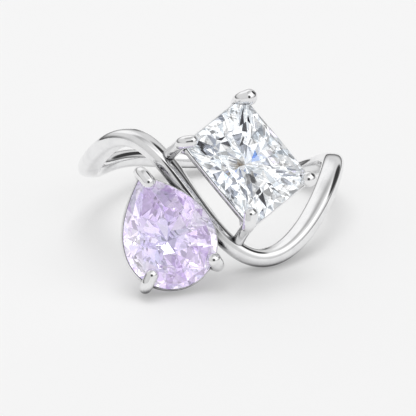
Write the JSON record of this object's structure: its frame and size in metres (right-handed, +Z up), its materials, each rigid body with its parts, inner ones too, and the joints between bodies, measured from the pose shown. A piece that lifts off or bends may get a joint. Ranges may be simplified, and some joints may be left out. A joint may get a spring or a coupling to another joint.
{
  "type": "toi et moi ring",
  "caption": "Bypass ring with a waved band that carries a claw-set pear cut stone and a claw-set cut-cornered rectangular stone side by side.",
  "frame": {"origin": "middle of the ring's outline seen from above, on the surface it lies on", "axes": "+Z up, +X to the right of a viewer who faces the head, +Y away from the viewer, from the head to the back of the band"},
  "size_m": [0.0208, 0.025, 0.0143],
  "materials": {
    "white_metal": "polished white gold",
    "lilac_stone": "faceted, polished, lilac",
    "clear_stone": "faceted, polished, colourless"
  },
  "bodies": {
    "root": {"mounting": "white_metal", "pear_stone": "lilac_stone", "radiant_stone": "clear_stone"}
  },
  "joints": []
}
